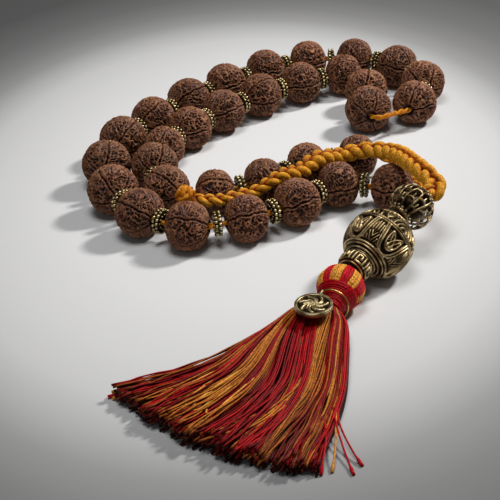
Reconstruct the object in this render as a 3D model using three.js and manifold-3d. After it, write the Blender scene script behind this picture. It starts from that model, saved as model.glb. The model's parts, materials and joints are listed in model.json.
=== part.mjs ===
// A rudraksha mala: thirty-two seed beads strung in one closed loop, laid down folded into a double
// row, with a braided cord that leaves the loop and carries three cast beads and a thread tassel.
//
// Lengths are in millimetres. +Z is up and everything lies on the plane z = 0. +Y runs from the
// tassel towards the far end of the loop, and the origin is the middle of the outline, on that plane.

import * as THREE from 'three';
import { mergeVertices } from 'three/addons/utils/BufferGeometryUtils.js';
import Module from 'manifold-3d';

const wasm = await Module();
wasm.setup();

// ---------------------------------------------------------------- driving dimensions

const SEED_SIDES = 10;
const SEED_BORE_RADIUS = 1.7;
const SEED_MOUTH_RADIUS = 3.9;
const SEED_MOUTH_BOTTOM = 0.55;
const SEED_POLE = 0.84;
const STRING_RADIUS = 1.1;
const STRING_BEND = 0.62;
const CORD_SIDES = 8;

const RING_RADIUS = 5.5;
const RING_THICKNESS = 3.4;
const RING_HUB_THICKNESS = 2.2;
const RING_BORE_RADIUS = 1.8;
const RING_SIDES = 10;

const BRAID_RADIUS = 3.7;
const BRAID_STEPS = 44;
const KNOB_RADIUS = 4.2;
const LOOP_WIDTH = 4.6;
const LOOP_THICKNESS = 2.2;
const LOOP_HOLE_RADIUS = 1.6;

const CORE_RADIUS = 1.4;
const CAST_BORE_RADIUS = 2.2;
const LANTERN_RADIUS = 9.2;
const LANTERN_HALF_LENGTH = 8;
const LANTERN_WALL = 1.3;
const LANTERN_WINDOWS = 8;
const GURU_RADIUS = 13.1;
const GURU_HALF_LENGTH = 12;
const BARREL_RADIUS = 6.3;
const BARREL_HALF_LENGTH = 2.8;

const HEAD_RADIUS = 8.8;
const HEAD_TOP_RADIUS = 7.5;
const HEAD_FOOT = 7.3;
const NECK_RADIUS = 4.4;
const NECK_LENGTH = 4.6;
const JUMP_RING_RADIUS = 5.9;
const JUMP_RING_WIRE = 0.5;
const JUMP_RING_LEAN = 15;
const CHARM_RADIUS = 6.85;
const CHARM_THICKNESS = 1.6;
const CHARM_RIM = 1.1;
const BAIL_RADIUS = 1.5;
const BAIL_WIRE = 0.45;

const SKIRT_END_THICKNESS = 7;
const GAP = 0.3;

// The seed beads in stringing order, as [x, y, diameter]. Each one lies on the ground.
const OUTER_ROW = [
  [69, 88, 20], [77, 111.5, 20.5], [67.5, 135, 20.5], [47, 150, 20], [22.5, 151.5, 20],
  [-0.5, 142, 20.5], [-21.5, 127, 20.5], [-40.5, 109.5, 21], [-57.5, 90.5, 20.5], [-71, 69, 21],
  [-77, 44, 21], [-72.5, 18.5, 21], [-60, -3, 20], [-40, -16.5, 19.5], [-16, -13.5, 19],
  [5.5, -3.5, 19.5], [24, 10.5, 18.5], [46, 4, 19],
];
const INNER_ROW = [
  [35, 35.5, 18.5], [12.5, 31.5, 18.5], [-7, 19, 18.5], [-28.5, 13, 18], [-49.5, 17.5, 19.5],
  [-55.2, 40, 20], [-51.5, 61, 18], [-39.5, 78, 19.5], [-23.5, 94.5, 20], [-4.5, 110, 20.5],
  [16.5, 122.5, 20], [39, 130, 19.5], [48, 107.5, 20], [46, 83.5, 21],
];
const SEEDS_BEFORE_KNOT = 4;

// Where the outer row turns back into the inner row the string is bare, and sags to the ground.
const TURN_BACK = [[59, 5, 5], [60, 20, 1.7], [52, 33, 5]];

// It is bare too round the inner row's sharp corner, and where the last seed meets the first.
const SEEDS_BEFORE_CORNER = 12;
const CORNER = [[52.5, 130, 10], [53.5, 124.5, 10]];
const CLOSING_TURN = [[49.5, 71.5, 11], [54.5, 72.5, 11.5], [59.5, 76, 11]];

// The braid's centreline, from the knob on the string to the far pole of the lantern bead.
const BRAID_ROUTE = [
  [-41, 5, 12.5], [-36.5, 2, 12], [-32, 0, 12], [-27.5, -0.5, 12], [-23, 0.5, 12], [-18, 2.5, 12],
  [-13, 4, 12], [-8.5, 5, 13.5], [-4.5, 6, 15.5], [0, 8, 17], [5, 11, 16.5], [9.5, 14.5, 16],
  [14, 18.5, 17], [18.5, 21, 17.5], [23.5, 23, 16.5], [28, 24, 16.5], [32.5, 24, 17.5],
  [37, 22, 19], [41, 18.5, 20.5], [44.5, 14, 22], [47.5, 9, 23.3], [50.5, 3.5, 24],
  [53, -2.5, 24], [55.5, -8.5, 23.8], [58, -14.5, 23.3], [59.5, -19.5, 22.6], [58.7, -24.2, 22],
  [54.6, -27.8, 21.3],
];

const LANTERN_CENTRE = new THREE.Vector3(48.1, -32.9, 20);
const GURU_CENTRE = new THREE.Vector3(33.5, -47.5, 13.3);
const BARREL_CENTRE = new THREE.Vector3(23, -59.5, 11.5);
const HEAD_CENTRE = new THREE.Vector3(17, -68.5, 9);
const NECK_CENTRE = new THREE.Vector3(12.5, -79, 7.5);
const JUMP_RING_CENTRE = new THREE.Vector3(12.5, -79.2, 8.2);
const BAIL_CENTRE = new THREE.Vector3(8.9, -80, 13.2);
const CHARM_CENTRE = new THREE.Vector3(5.3, -87.2, 13.8);

// The skirt's two side edges, from the neck to the cut ends, as [x, y].
const SKIRT_LEFT_EDGE = [[7.3, -80.6], [0, -88], [-14, -96.5], [-36, -105.3], [-65.5, -115]];
const SKIRT_RIGHT_EDGE = [[15.4, -83.6], [17.5, -92], [16.5, -103], [14, -127.5], [2, -161.5]];
const SKIRT_TIP_RADIUS = 84;
const SKIRT_COLUMNS = 9;
const SKIRT_ROWS = 6;

// ---------------------------------------------------------------- colours

const SEED_BROWN = 0x5a3726;
const THREAD_ORANGE = 0xd88a12;
const THREAD_RED = 0x8f1424;
const THREAD_GOLD = 0xc88a2c;
const OLD_BRASS = 0x8c7a4a;

// ---------------------------------------------------------------- helpers

const mala = new THREE.Group();

function addMesh(name, geometry, colour, roughness, metalness) {
  const material = new THREE.MeshStandardMaterial({ color: colour, roughness, metalness });
  const mesh = new THREE.Mesh(geometry, material);
  mesh.name = name;
  mala.add(mesh);
  return mesh;
}

function addThread(name, geometry, colour) {
  return addMesh(name, geometry, colour, 0.8, 0);
}

function addBrass(name, geometry) {
  return addMesh(name, geometry, OLD_BRASS, 0.4, 0.9);
}

// Turns a geometry's +Y onto the axis, keeps its +Z as near to up as it can, and moves it.
function stand(geometry, centre, axis) {
  const along = axis.clone().normalize();
  const across = new THREE.Vector3().crossVectors(along, new THREE.Vector3(0, 0, 1)).normalize();
  const top = new THREE.Vector3().crossVectors(across, along);
  const turn = new THREE.Matrix4().makeBasis(across, along, top);
  return geometry.clone().applyMatrix4(turn).translate(centre.x, centre.y, centre.z);
}

// A spun solid from [radius, height] points. One flat of its outline faces straight down.
function spin(points, sides) {
  const profile = points.map(([radius, height]) => new THREE.Vector2(radius, height));
  return new THREE.LatheGeometry(profile, sides, Math.PI / sides);
}

function closedRing(points, sides) {
  return spin([...points, points[0]], sides);
}

function toSolid(geometry) {
  const bare = geometry.clone();
  bare.deleteAttribute('normal');
  bare.deleteAttribute('uv');
  const merged = mergeVertices(bare, 1e-4);
  return new wasm.Manifold(new wasm.Mesh({
    numProp: 3,
    vertProperties: new Float32Array(merged.attributes.position.array),
    triVerts: new Uint32Array(merged.index.array),
  }));
}

function toGeometry(solid) {
  const mesh = solid.getMesh();
  const geometry = new THREE.BufferGeometry();
  geometry.setAttribute('position', new THREE.BufferAttribute(mesh.vertProperties, 3));
  geometry.setIndex(new THREE.BufferAttribute(mesh.triVerts, 1));
  return geometry;
}

// A round section with its points on a circle, for a cord or a hole.
function roundSection(radius, sides, ShapeType = THREE.Shape) {
  const corners = [];
  for (let i = 0; i < sides; i += 1) {
    const angle = (2 * Math.PI * i) / sides;
    corners.push(new THREE.Vector2(radius * Math.cos(angle), radius * Math.sin(angle)));
  }
  return new ShapeType(corners);
}

// A path that is sampled at its own points, so that a cord runs straight between them.
class StraightRuns extends THREE.Curve {
  constructor(points) {
    super();
    this.points = points;
  }

  getPoint(t, target = new THREE.Vector3()) {
    const last = this.points.length - 1;
    const index = Math.min(Math.floor(t * last + 1e-9), last - 1);
    return target.lerpVectors(this.points[index], this.points[index + 1], t * last - index);
  }

  getPointAt(u, target) {
    return this.getPoint(u, target);
  }

  getTangentAt(u, target = new THREE.Vector3()) {
    const last = this.points.length - 1;
    const here = Math.round(u * last);
    const before = this.points[Math.max(here - 1, 0)];
    const after = this.points[Math.min(here + 1, last)];
    return target.subVectors(after, before).normalize();
  }
}

function straightCord(points, radius) {
  return new THREE.ExtrudeGeometry(roundSection(radius, CORD_SIDES), {
    steps: points.length - 1,
    extrudePath: new StraightRuns(points),
  });
}

// ---------------------------------------------------------------- stringing

// Every stop along the string, in order: the seeds of both rows and the bare turns.
function stringStops() {
  const seed = (row, label) => ([x, y, diameter], index) => ({
    centre: new THREE.Vector3(x, y, diameter / 2),
    radius: diameter / 2,
    row,
    label: `${label}_${String(index + 1).padStart(2, '0')}`,
  });
  const bare = ([x, y, z]) => ({ centre: new THREE.Vector3(x, y, z), radius: 0 });
  const outer = OUTER_ROW.map(seed('outer', 'rudraksha_outer'));
  const inner = INNER_ROW.map(seed('inner', 'rudraksha_inner'));
  return [
    ...outer,
    ...TURN_BACK.map(bare),
    ...inner.slice(0, SEEDS_BEFORE_CORNER),
    ...CORNER.map(bare),
    ...inner.slice(SEEDS_BEFORE_CORNER),
    ...CLOSING_TURN.map(bare),
  ];
}

const stops = stringStops();
const stopBefore = (index) => stops[(index - 1 + stops.length) % stops.length];
const stopAfter = (index) => stops[(index + 1) % stops.length];

// A bead's bore points from the stop before it to the stop after it, and is level.
stops.forEach((stop, index) => {
  stop.axis = new THREE.Vector3().subVectors(stopAfter(index).centre, stopBefore(index).centre);
  stop.axis.setZ(0).normalize();
});

// The point in a seed's mouth where the string leaves the bore and bends towards the next stop.
function mouth(stop, side) {
  return stop.centre.clone().addScaledVector(stop.axis, side * stop.radius * STRING_BEND);
}

// The middle of the stretch between two neighbouring stops, with the direction between them.
function stretch(from, to) {
  return {
    middle: mouth(from, 1).add(mouth(to, -1)).multiplyScalar(0.5),
    direction: to.centre.clone().sub(from.centre).normalize(),
  };
}

function addSeeds() {
  stops.filter((stop) => stop.radius > 0).forEach((stop) => {
    const across = stop.radius / Math.cos(Math.PI / SEED_SIDES);
    const profile = [
      [SEED_BORE_RADIUS, -SEED_MOUTH_BOTTOM * stop.radius],
      [SEED_MOUTH_RADIUS, -SEED_POLE * stop.radius],
      [0.8 * across, -0.6 * stop.radius],
      [across, -0.22 * stop.radius],
      [across, 0.22 * stop.radius],
      [0.8 * across, 0.6 * stop.radius],
      [SEED_MOUTH_RADIUS, SEED_POLE * stop.radius],
      [SEED_BORE_RADIUS, SEED_MOUTH_BOTTOM * stop.radius],
    ];
    const seed = closedRing(profile, SEED_SIDES);
    addMesh(stop.label, stand(seed, stop.centre, stop.axis), SEED_BROWN, 0.75, 0);
  });
}

// A spacer's half profile, from its bore (or its axis, when it is solid) out to the rim.
function spacerProfile(innerRadius) {
  return [
    [innerRadius, -RING_HUB_THICKNESS / 2],
    [RING_RADIUS * 0.9, -RING_THICKNESS / 2],
    [RING_RADIUS, 0],
    [RING_RADIUS * 0.9, RING_THICKNESS / 2],
    [innerRadius, RING_HUB_THICKNESS / 2],
  ];
}

// The outer row's spacers turn on the string, one between each two seeds.
function addOuterSpacers() {
  const ring = closedRing(spacerProfile(RING_BORE_RADIUS), RING_SIDES);
  for (let index = 0; index < OUTER_ROW.length - 2; index += 1) {
    const place = stretch(stops[index], stops[index + 1]);
    const name = `spacer_ring_${String(index + 1).padStart(2, '0')}`;
    addBrass(name, stand(ring, place.middle, place.direction));
  }
}

// The string is one closed loop. The inner row's spacers sit fast on it, and its two ends meet
// inside the spacer after the knot.
function addString() {
  const start = stops.findIndex((stop) => stop.row === 'inner') + SEEDS_BEFORE_KNOT;
  const order = [...stops.slice(start + 1), ...stops.slice(0, start + 1)];
  const joint = stretch(stops[start], stops[start + 1]).middle;
  const points = [joint];
  order.forEach((stop) => {
    points.push(mouth(stop, -1));
    if (stop.radius > 0) points.push(mouth(stop, 1));
  });
  points.push(joint.clone());
  let string = toSolid(straightCord(points, STRING_RADIUS));

  const disc = spin(spacerProfile(0), RING_SIDES);
  const isKnot = (index) => index === start - 1;
  stops.forEach((stop, index) => {
    const next = stopAfter(index);
    const lastOfOuter = index === OUTER_ROW.length - 2;
    const bothInner = stop.row === 'inner' && next.row === 'inner';
    if (!lastOfOuter && (!bothInner || isKnot(index))) return;
    const place = stretch(stop, next);
    string = string.add(toSolid(stand(disc, place.middle, place.direction)));
  });
  addThread('bead_string', toGeometry(string), THREAD_ORANGE);
  return stretch(stops[start - 1], stops[start]);
}

// ---------------------------------------------------------------- knot and braid

// A flat loop of cord round the string, with the round knob that the braid starts from.
function addKnot(place) {
  const knob = new THREE.Vector3(...BRAID_ROUTE[0]);
  const reach = knob.clone().sub(place.middle);
  reach.addScaledVector(place.direction, -reach.dot(place.direction));
  const length = reach.length();
  const half = LOOP_WIDTH / 2;
  const outline = new THREE.Shape();
  outline.moveTo(-half, 0);
  outline.absarc(0, 0, half, Math.PI, 2 * Math.PI, false);
  outline.lineTo(half, length);
  outline.lineTo(-half, length);
  outline.holes.push(roundSection(LOOP_HOLE_RADIUS, CORD_SIDES, THREE.Path));
  const strap = new THREE.ExtrudeGeometry(outline, {
    depth: LOOP_THICKNESS,
    bevelEnabled: false,
    curveSegments: 6,
  });
  strap.translate(0, 0, -LOOP_THICKNESS / 2);
  const up = reach.clone().normalize();
  const side = new THREE.Vector3().crossVectors(up, place.direction);
  const turn = new THREE.Matrix4().makeBasis(side, up, place.direction);
  strap.applyMatrix4(turn).translate(place.middle.x, place.middle.y, place.middle.z);
  const ball = new THREE.IcosahedronGeometry(KNOB_RADIUS, 1).translate(knob.x, knob.y, knob.z);
  addThread('cord_knot', toGeometry(toSolid(strap).add(toSolid(ball))), THREAD_ORANGE);
}

// The part of the braid's route that lies between the knob's surface and the lantern's pole.
function addBraid() {
  const route = new THREE.CatmullRomCurve3(
    BRAID_ROUTE.map((point) => new THREE.Vector3(...point)),
    false,
    'centripetal',
  );
  const start = (KNOB_RADIUS + GAP) / route.getLength();
  const samples = [];
  for (let step = 0; step <= BRAID_STEPS; step += 1) {
    samples.push(route.getPointAt(start + (1 - start) * (step / BRAID_STEPS)));
  }
  addThread('braided_cord', straightCord(samples, BRAID_RADIUS), THREAD_ORANGE);
}

// ---------------------------------------------------------------- cast beads

const lanternOutward = new THREE.Vector3(0.77, 0.62, 0.15).normalize();
const guruAxis = new THREE.Vector3().subVectors(LANTERN_CENTRE, BARREL_CENTRE).normalize();
const barrelAxis = new THREE.Vector3().subVectors(GURU_CENTRE, HEAD_CENTRE).normalize();

// An openwork globe: a thin shell with windows between its ribs and a bore through both poles.
function addLantern() {
  const shell = [
    [CAST_BORE_RADIUS, -LANTERN_HALF_LENGTH],
    [LANTERN_RADIUS * 0.5, -LANTERN_HALF_LENGTH],
    [LANTERN_RADIUS * 0.87, -LANTERN_HALF_LENGTH * 0.55],
    [LANTERN_RADIUS, 0],
    [LANTERN_RADIUS * 0.87, LANTERN_HALF_LENGTH * 0.55],
    [LANTERN_RADIUS * 0.5, LANTERN_HALF_LENGTH],
    [CAST_BORE_RADIUS, LANTERN_HALF_LENGTH],
  ];
  const innerRadius = LANTERN_RADIUS - LANTERN_WALL;
  const innerHalf = LANTERN_HALF_LENGTH - LANTERN_WALL;
  const hollow = [
    [0, -innerHalf],
    [innerRadius * 0.5, -innerHalf],
    [innerRadius * 0.87, -innerHalf * 0.55],
    [innerRadius, 0],
    [innerRadius * 0.87, innerHalf * 0.55],
    [innerRadius * 0.5, innerHalf],
    [0, innerHalf],
  ];
  const sides = 2 * LANTERN_WINDOWS;
  let globe = toSolid(closedRing(shell, sides)).subtract(toSolid(spin(hollow, sides)));
  const opening = new THREE.Shape();
  opening.moveTo(0, -5.2);
  opening.lineTo(2.3, 0);
  opening.lineTo(0, 5.2);
  opening.lineTo(-2.3, 0);
  opening.closePath();
  const cutter = new THREE.ExtrudeGeometry(opening, { depth: LANTERN_RADIUS, bevelEnabled: false });
  cutter.translate(0, 0, LANTERN_RADIUS / 2);
  for (let index = 0; index < LANTERN_WINDOWS; index += 1) {
    const turned = cutter.clone().rotateY((2 * Math.PI * index) / LANTERN_WINDOWS);
    globe = globe.subtract(toSolid(turned));
  }
  addBrass('lantern_bead', stand(toGeometry(globe), LANTERN_CENTRE, lanternOutward));
}

function addGuruBead() {
  const profile = [
    [CAST_BORE_RADIUS, -GURU_HALF_LENGTH],
    [GURU_RADIUS * 0.34, -GURU_HALF_LENGTH],
    [GURU_RADIUS * 0.68, -GURU_HALF_LENGTH * 0.8],
    [GURU_RADIUS * 0.92, -GURU_HALF_LENGTH * 0.44],
    [GURU_RADIUS, 0],
    [GURU_RADIUS * 0.92, GURU_HALF_LENGTH * 0.44],
    [GURU_RADIUS * 0.68, GURU_HALF_LENGTH * 0.8],
    [GURU_RADIUS * 0.34, GURU_HALF_LENGTH],
    [CAST_BORE_RADIUS, GURU_HALF_LENGTH],
  ];
  addBrass('guru_bead', stand(closedRing(profile, 16), GURU_CENTRE, guruAxis));
}

function addBarrelBead() {
  const profile = [
    [CAST_BORE_RADIUS, -BARREL_HALF_LENGTH],
    [BARREL_RADIUS * 0.8, -BARREL_HALF_LENGTH],
    [BARREL_RADIUS, -BARREL_HALF_LENGTH * 0.5],
    [BARREL_RADIUS, BARREL_HALF_LENGTH * 0.5],
    [BARREL_RADIUS * 0.8, BARREL_HALF_LENGTH],
    [CAST_BORE_RADIUS, BARREL_HALF_LENGTH],
  ];
  addBrass('barrel_bead', stand(closedRing(profile, 14), BARREL_CENTRE, barrelAxis));
}

// The cord that the cast beads are threaded on. It runs straight through each bore.
function addCoreCord() {
  const reach = (centre, axis, distance) => centre.clone().addScaledVector(axis, distance);
  const points = [
    reach(LANTERN_CENTRE, lanternOutward, LANTERN_HALF_LENGTH),
    reach(LANTERN_CENTRE, lanternOutward, -LANTERN_HALF_LENGTH),
    reach(GURU_CENTRE, guruAxis, GURU_HALF_LENGTH),
    reach(GURU_CENTRE, guruAxis, -GURU_HALF_LENGTH),
    reach(BARREL_CENTRE, barrelAxis, BARREL_HALF_LENGTH),
    reach(BARREL_CENTRE, barrelAxis, -BARREL_HALF_LENGTH),
  ];
  addThread('pendant_core_cord', straightCord(points, CORE_RADIUS), THREAD_RED);
}

// ---------------------------------------------------------------- tassel

const tasselAxis = new THREE.Vector3().subVectors(NECK_CENTRE, HEAD_CENTRE).normalize();

function addTasselHead() {
  const profile = [
    [0, -HEAD_TOP_RADIUS],
    [3.9, -6.4],
    [6.4, -4.4],
    [HEAD_RADIUS * 0.955, -1.6],
    [HEAD_RADIUS, 1.2],
    [HEAD_RADIUS * 0.9, 4.6],
    [NECK_RADIUS * 1.25, HEAD_FOOT],
    [0, HEAD_FOOT],
  ];
  addThread('tassel_head', stand(spin(profile, 16), HEAD_CENTRE, tasselAxis), THREAD_RED);
}

function addNeckWrap() {
  const half = NECK_LENGTH / 2;
  const profile = [
    [0, -half],
    [NECK_RADIUS * 0.92, -half],
    [NECK_RADIUS, 0],
    [NECK_RADIUS * 0.92, half],
    [0, half],
  ];
  addThread('neck_wrap', stand(spin(profile, 12), NECK_CENTRE, tasselAxis), THREAD_RED);
}

const jumpRingAxis = tasselAxis.clone()
  .addScaledVector(new THREE.Vector3(0, 0, 1), Math.tan((JUMP_RING_LEAN * Math.PI) / 180))
  .normalize();

function addJumpRing() {
  const ring = new THREE.TorusGeometry(JUMP_RING_RADIUS, JUMP_RING_WIRE, 6, 20);
  ring.rotateX(Math.PI / 2);
  addBrass('neck_jump_ring', stand(ring, JUMP_RING_CENTRE, jumpRingAxis));
}

// A rimmed disc that lies on the skirt, with a bail that hooks onto the jump ring.
function addCharm() {
  const half = CHARM_THICKNESS / 2;
  const profile = [
    [0, -half],
    [CHARM_RADIUS, -half],
    [CHARM_RADIUS, half],
    [CHARM_RADIUS - CHARM_RIM, half],
    [CHARM_RADIUS - CHARM_RIM, half * 0.4],
    [0, half * 0.4],
  ];
  const disc = spin(profile, 18).rotateX(Math.PI / 2);
  disc.translate(CHARM_CENTRE.x, CHARM_CENTRE.y, CHARM_CENTRE.z);
  const outward = new THREE.Vector3().subVectors(CHARM_CENTRE, BAIL_CENTRE).setZ(0).normalize();
  const bail = new THREE.TorusGeometry(BAIL_RADIUS, BAIL_WIRE, 6, 12);
  const hingeLine = new THREE.Vector3(0, 0, 1).cross(outward);
  const turn = new THREE.Matrix4().makeBasis(outward, new THREE.Vector3(0, 0, 1), hingeLine.negate());
  bail.applyMatrix4(turn).translate(BAIL_CENTRE.x, BAIL_CENTRE.y, BAIL_CENTRE.z);
  addBrass('disc_charm', toGeometry(toSolid(disc).add(toSolid(bail))));
}

// A block bent into the fan of threads: its sides follow the two edges, its far end is an arc
// round the neck, its underside rests on the ground and lifts towards the neck.
function addSkirt() {
  const edge = (points) => new THREE.SplineCurve(points.map(([x, y]) => new THREE.Vector2(x, y)));
  const left = edge(SKIRT_LEFT_EDGE);
  const right = edge(SKIRT_RIGHT_EDGE);
  const neckTop = NECK_CENTRE.z + NECK_RADIUS * 0.92;
  const neckUnderside = NECK_CENTRE.z - NECK_RADIUS;
  const root = NECK_LENGTH / 2 + GAP;
  const block = new THREE.BoxGeometry(1, 1, 1, SKIRT_COLUMNS, SKIRT_ROWS, 1);
  const position = block.attributes.position;
  for (let index = 0; index < position.count; index += 1) {
    const across = position.getX(index) + 0.5;
    const along = 0.5 - position.getY(index);
    const upper = position.getZ(index) > 0;
    const leftPoint = left.getPointAt(along);
    const rightPoint = right.getPointAt(along);
    const point = leftPoint.clone().lerp(rightPoint, across);
    const fromNeck = point.clone().sub(new THREE.Vector2(NECK_CENTRE.x, NECK_CENTRE.y));
    const arc = leftPoint.distanceTo(NECK_CENTRE) * (1 - across) + rightPoint.distanceTo(NECK_CENTRE) * across;
    const reach = along === 0 ? fromNeck.length() : Math.max(arc, root);
    fromNeck.setLength(THREE.MathUtils.lerp(reach, SKIRT_TIP_RADIUS, along ** 4));
    const shoulder = 1 - 0.45 * Math.abs(2 * across - 1) ** 3;
    const top = THREE.MathUtils.lerp(neckTop, SKIRT_END_THICKNESS, along ** 0.8) * shoulder;
    const underside = neckUnderside * Math.max(0, 1 - 4 * along);
    position.setXYZ(
      index,
      NECK_CENTRE.x + fromNeck.x,
      NECK_CENTRE.y + fromNeck.y,
      upper ? top : underside,
    );
  }
  addThread('tassel_skirt', block, THREAD_GOLD);
}

// ---------------------------------------------------------------- the whole mala

addSeeds();
addOuterSpacers();
addKnot(addString());
addBraid();
addLantern();
addGuruBead();
addBarrelBead();
addCoreCord();
addTasselHead();
addNeckWrap();
addJumpRing();
addCharm();
addSkirt();

export default mala;
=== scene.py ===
import json
import math

import bpy
import numpy as np
from mathutils import Matrix, Vector


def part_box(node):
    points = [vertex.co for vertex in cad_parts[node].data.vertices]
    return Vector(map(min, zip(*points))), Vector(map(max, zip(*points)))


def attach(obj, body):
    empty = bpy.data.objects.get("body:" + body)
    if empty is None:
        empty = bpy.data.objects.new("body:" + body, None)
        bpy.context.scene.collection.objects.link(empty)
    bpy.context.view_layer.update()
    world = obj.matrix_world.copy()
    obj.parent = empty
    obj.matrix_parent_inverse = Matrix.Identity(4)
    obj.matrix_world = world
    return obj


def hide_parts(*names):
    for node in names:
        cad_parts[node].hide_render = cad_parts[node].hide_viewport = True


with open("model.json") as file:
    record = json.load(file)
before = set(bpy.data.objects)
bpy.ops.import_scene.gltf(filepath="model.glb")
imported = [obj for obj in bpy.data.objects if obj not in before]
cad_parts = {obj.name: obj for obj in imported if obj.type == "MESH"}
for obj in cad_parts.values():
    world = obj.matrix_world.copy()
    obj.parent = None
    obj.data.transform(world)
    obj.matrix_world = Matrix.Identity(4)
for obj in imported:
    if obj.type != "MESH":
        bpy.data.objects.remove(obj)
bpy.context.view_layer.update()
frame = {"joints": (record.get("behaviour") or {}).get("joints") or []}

# A rudraksha mala. Lengths in this script are millimetres unless a name says otherwise, and every
# piece is turned into metres as its mesh is made.

MM = 0.001
JOINTS = {joint["child"]: joint for joint in frame["joints"]}
UP = np.array([0.0, 0.0, 1.0])
TURN = 2 * math.pi
random = np.random.default_rng(108)


def jitter(amount):
    """A random number from -amount to amount."""
    return amount * random.uniform(-1, 1)


def add_object(name, data):
    made = bpy.data.objects.new(name, data)
    bpy.context.scene.collection.objects.link(made)
    return made


def joint_place(body):
    """A body's pivot in millimetres and the direction it turns about."""
    joint = JOINTS[body]
    axis = np.array(joint["axis"], float)
    return np.array(joint["pos_m"], float) / MM, axis / np.linalg.norm(axis)


# ---------------- camera

LENS_MM = 82.8
CAMERA_PLACE_MM = (-15.5, -423.0, 238.0)
CAMERA_PITCH_DEG = 30.744
CAMERA_ROLL_DEG = 4.165


def add_camera():
    data = bpy.data.cameras.new("camera")
    data.lens = LENS_MM
    data.sensor_width = 36
    camera = add_object("camera", data)
    pitch = Matrix.Rotation(math.radians(90 - CAMERA_PITCH_DEG), 4, "X")
    roll = Matrix.Rotation(math.radians(-CAMERA_ROLL_DEG), 4, "Z")
    camera.matrix_world = Matrix.Translation(Vector(CAMERA_PLACE_MM) * MM) @ pitch @ roll
    bpy.context.scene.camera = camera


add_camera()


# ---------------- mesh helpers


def grid_faces(rows, columns, close_rows):
    """Triangles over a grid of rows x columns points. Its columns close up, and its rows may."""
    last_row = rows if close_rows else rows - 1
    r, c = np.meshgrid(np.arange(last_row), np.arange(columns), indexing="ij")
    r2, c2 = (r + 1) % rows, (c + 1) % columns
    a, b, d, e = r * columns + c, r * columns + c2, r2 * columns + c2, r2 * columns + c
    faces = np.stack([np.stack([a, b, d], -1), np.stack([a, d, e], -1)], 2)
    return faces.reshape(-1, 3)


def end_fans(rows, columns):
    """Triangles that close both ends of a grid, round two points added after the grid's own."""
    ring = np.arange(columns)
    turned = np.roll(ring, -1)
    total, end = rows * columns, (rows - 1) * columns
    return np.vstack([np.stack([np.full(columns, total), turned, ring], 1),
                      np.stack([np.full(columns, total + 1), end + ring, end + turned], 1)])


class Builder:
    """Collects closed shells, with a relief and a tone for each point, into one mesh."""

    # A low relief is painted shade, except in the hollows of brass ornament, where it is tarnish.
    def __init__(self):
        self.points, self.faces, self.relief, self.tone = [], [], [], []
        self.count = 0

    def add(self, points, faces, relief=1.0, tone=0.5):
        points = np.asarray(points, float).reshape(-1, 3)
        self.points.append(points)
        self.faces.append(np.asarray(faces) + self.count)
        self.relief.append(np.broadcast_to(np.asarray(relief, float).ravel(), (len(points),)))
        self.tone.append(np.broadcast_to(np.asarray(tone, float).ravel(), (len(points),)))
        self.count += len(points)

    def add_cord(self, line, radius, sides, groove_shade, tone, **shape):
        """Adds a tube whose relief is groove_shade between its lobes and 1 on them: painted shade
        in the grooves.
        """
        points, faces, relief = tube(line, radius, sides, **shape)
        self.add(points, faces, groove_shade + (1 - groove_shade) * relief, tone)

    def merged(self):
        return [np.concatenate(part) for part in (self.points, self.faces, self.relief, self.tone)]

    def piece(self, name, material, body, slot, replaces=()):
        points, faces, relief, tone = self.merged()
        points, faces = points * MM, faces.astype(np.int32)
        mesh = bpy.data.meshes.new(name)
        mesh.vertices.add(len(points))
        mesh.vertices.foreach_set("co", points.astype(np.float32).ravel())
        mesh.loops.add(faces.size)
        mesh.loops.foreach_set("vertex_index", faces.ravel())
        mesh.polygons.add(len(faces))
        mesh.polygons.foreach_set("loop_start", np.arange(0, faces.size, 3, dtype=np.int32))
        mesh.polygons.foreach_set("use_smooth", np.ones(len(faces), bool))
        for label, values in (("relief", relief), ("tone", tone)):
            attribute = mesh.attributes.new(label, "FLOAT", "POINT")
            attribute.data.foreach_set("value", values.astype(np.float32))
        mesh.update(calc_edges=True)
        mesh.validate()
        mesh.materials.append(material)
        piece = add_object(name, mesh)
        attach(piece, body)
        if replaces:
            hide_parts(*replaces)
        return piece


def held(values):
    """The values, held between 0 and 1."""
    return np.clip(values, 0, 1)


def unit(vectors):
    return vectors / np.maximum(np.linalg.norm(vectors, axis=-1, keepdims=True), 1e-12)


def angles(count):
    """The angles of count points spaced evenly round a circle."""
    return np.arange(count) * TURN / count


def polar(radius, angle, height):
    """Points at a radius and an angle about z, and a height along it."""
    parts = np.broadcast_arrays(radius * np.cos(angle), radius * np.sin(angle), height)
    return np.stack(parts, -1)


def run_along(line):
    """The distance along a line to each of its points."""
    return np.concatenate([[0], np.cumsum(np.linalg.norm(np.diff(line, axis=0), axis=1))])


def basis(axis):
    """Columns across, top, along: along is the axis, and top is as near to upright as it can be."""
    along = unit(np.asarray(axis, float))
    across = unit(np.cross(UP, along))
    return np.stack([across, np.cross(along, across), along], 1)


def place(points, centre, axis, spin=0.0):
    """Turns points whose own axis is z onto the axis, about which they are spun first."""
    c, s = math.cos(spin), math.sin(spin)
    turn = np.array([[c, -s, 0], [s, c, 0], [0, 0, 1]])
    return points @ turn.T @ basis(axis).T + centre


def lathe(radius, height, columns, closed):
    """Points and faces of a surface of revolution. radius and height have a value for each row, or
    for each row and column."""
    rows = len(radius)
    radius = np.broadcast_to(np.asarray(radius, float).reshape(rows, -1), (rows, columns))
    height = np.broadcast_to(np.asarray(height, float).reshape(rows, -1), (rows, columns))
    points = polar(radius, angles(columns), height).reshape(-1, 3)
    faces = grid_faces(rows, columns, closed)
    if not closed:
        points = np.vstack([points, [0, 0, height[0].mean()], [0, 0, height[-1].mean()]])
        faces = np.vstack([faces, end_fans(rows, columns)])
    return points, faces


def lerp(t, start, first, end, second):
    """A value that is first when t is start, and second when t is end."""
    return (end - t) / (end - start) * first + (t - start) / (end - start) * second


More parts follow.
